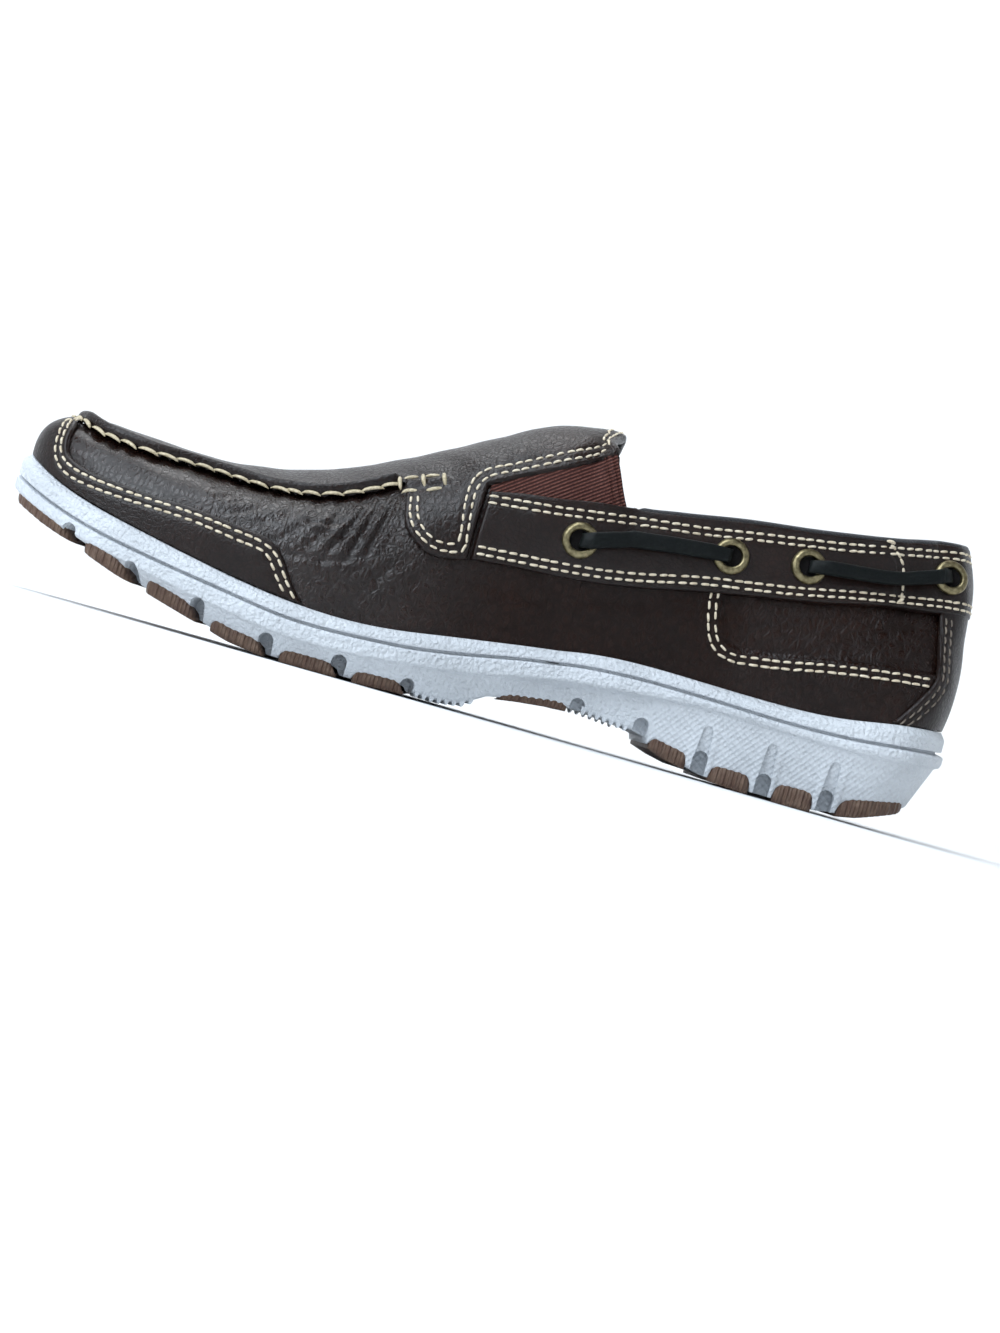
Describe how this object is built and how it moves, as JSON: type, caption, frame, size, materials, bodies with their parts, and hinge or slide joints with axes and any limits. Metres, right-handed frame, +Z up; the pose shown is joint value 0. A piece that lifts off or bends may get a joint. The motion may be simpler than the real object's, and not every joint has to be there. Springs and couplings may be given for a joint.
{
  "type": "loafer",
  "caption": "Leather slip-on shoe with a moc-toe plug, saddle tabs, a laced collar band and elastic gussets on a thick foam sole with rubber tread pads",
  "frame": {"origin": "middle of the shoe's bounding box, on the ground", "axes": "+X from heel to toe, +Y to the shoe's inner side, +Z up"},
  "size_m": [0.3042, 0.1037, 0.1014],
  "materials": {
    "leather": "dark brown pebbled full-grain leather, soft gloss",
    "white_foam": "cool white moulded foam, pebble textured",
    "brown_rubber": "matt brown rubber, finely ribbed",
    "lining": "black brushed lining",
    "elastic": "reddish-brown ribbed elastic webbing",
    "brass": "antiqued, worn to a soft shine",
    "lace_leather": "flat near-black leather lace"
  },
  "bodies": {
    "root": {"sole": "white_foam", "tread_pad_01": "brown_rubber", "tread_pad_02": "brown_rubber", "tread_pad_03": "brown_rubber", "tread_pad_04": "brown_rubber", "tread_pad_05": "brown_rubber", "tread_pad_06": "brown_rubber", "tread_pad_07": "brown_rubber", "tread_pad_08": "brown_rubber", "tread_pad_09": "brown_rubber", "tread_pad_10": "brown_rubber", "tread_pad_11": "brown_rubber", "insole": "lining", "upper": "leather", "mudguard": "leather", "collar_band": "leather", "backstay": "leather", "apron": "leather", "gore_inner": "elastic", "gore_outer": "elastic", "eyelet_inner_front": "brass", "eyelet_inner_middle": "brass", "eyelet_inner_rear": "brass", "eyelet_inner_heel": "brass", "eyelet_outer_front": "brass", "eyelet_outer_middle": "brass", "eyelet_outer_rear": "brass", "eyelet_outer_heel": "brass", "lace_inner_1": "lace_leather", "lace_inner_2": "lace_leather", "lace_outer_1": "lace_leather", "lace_outer_2": "lace_leather"}
  },
  "joints": []
}
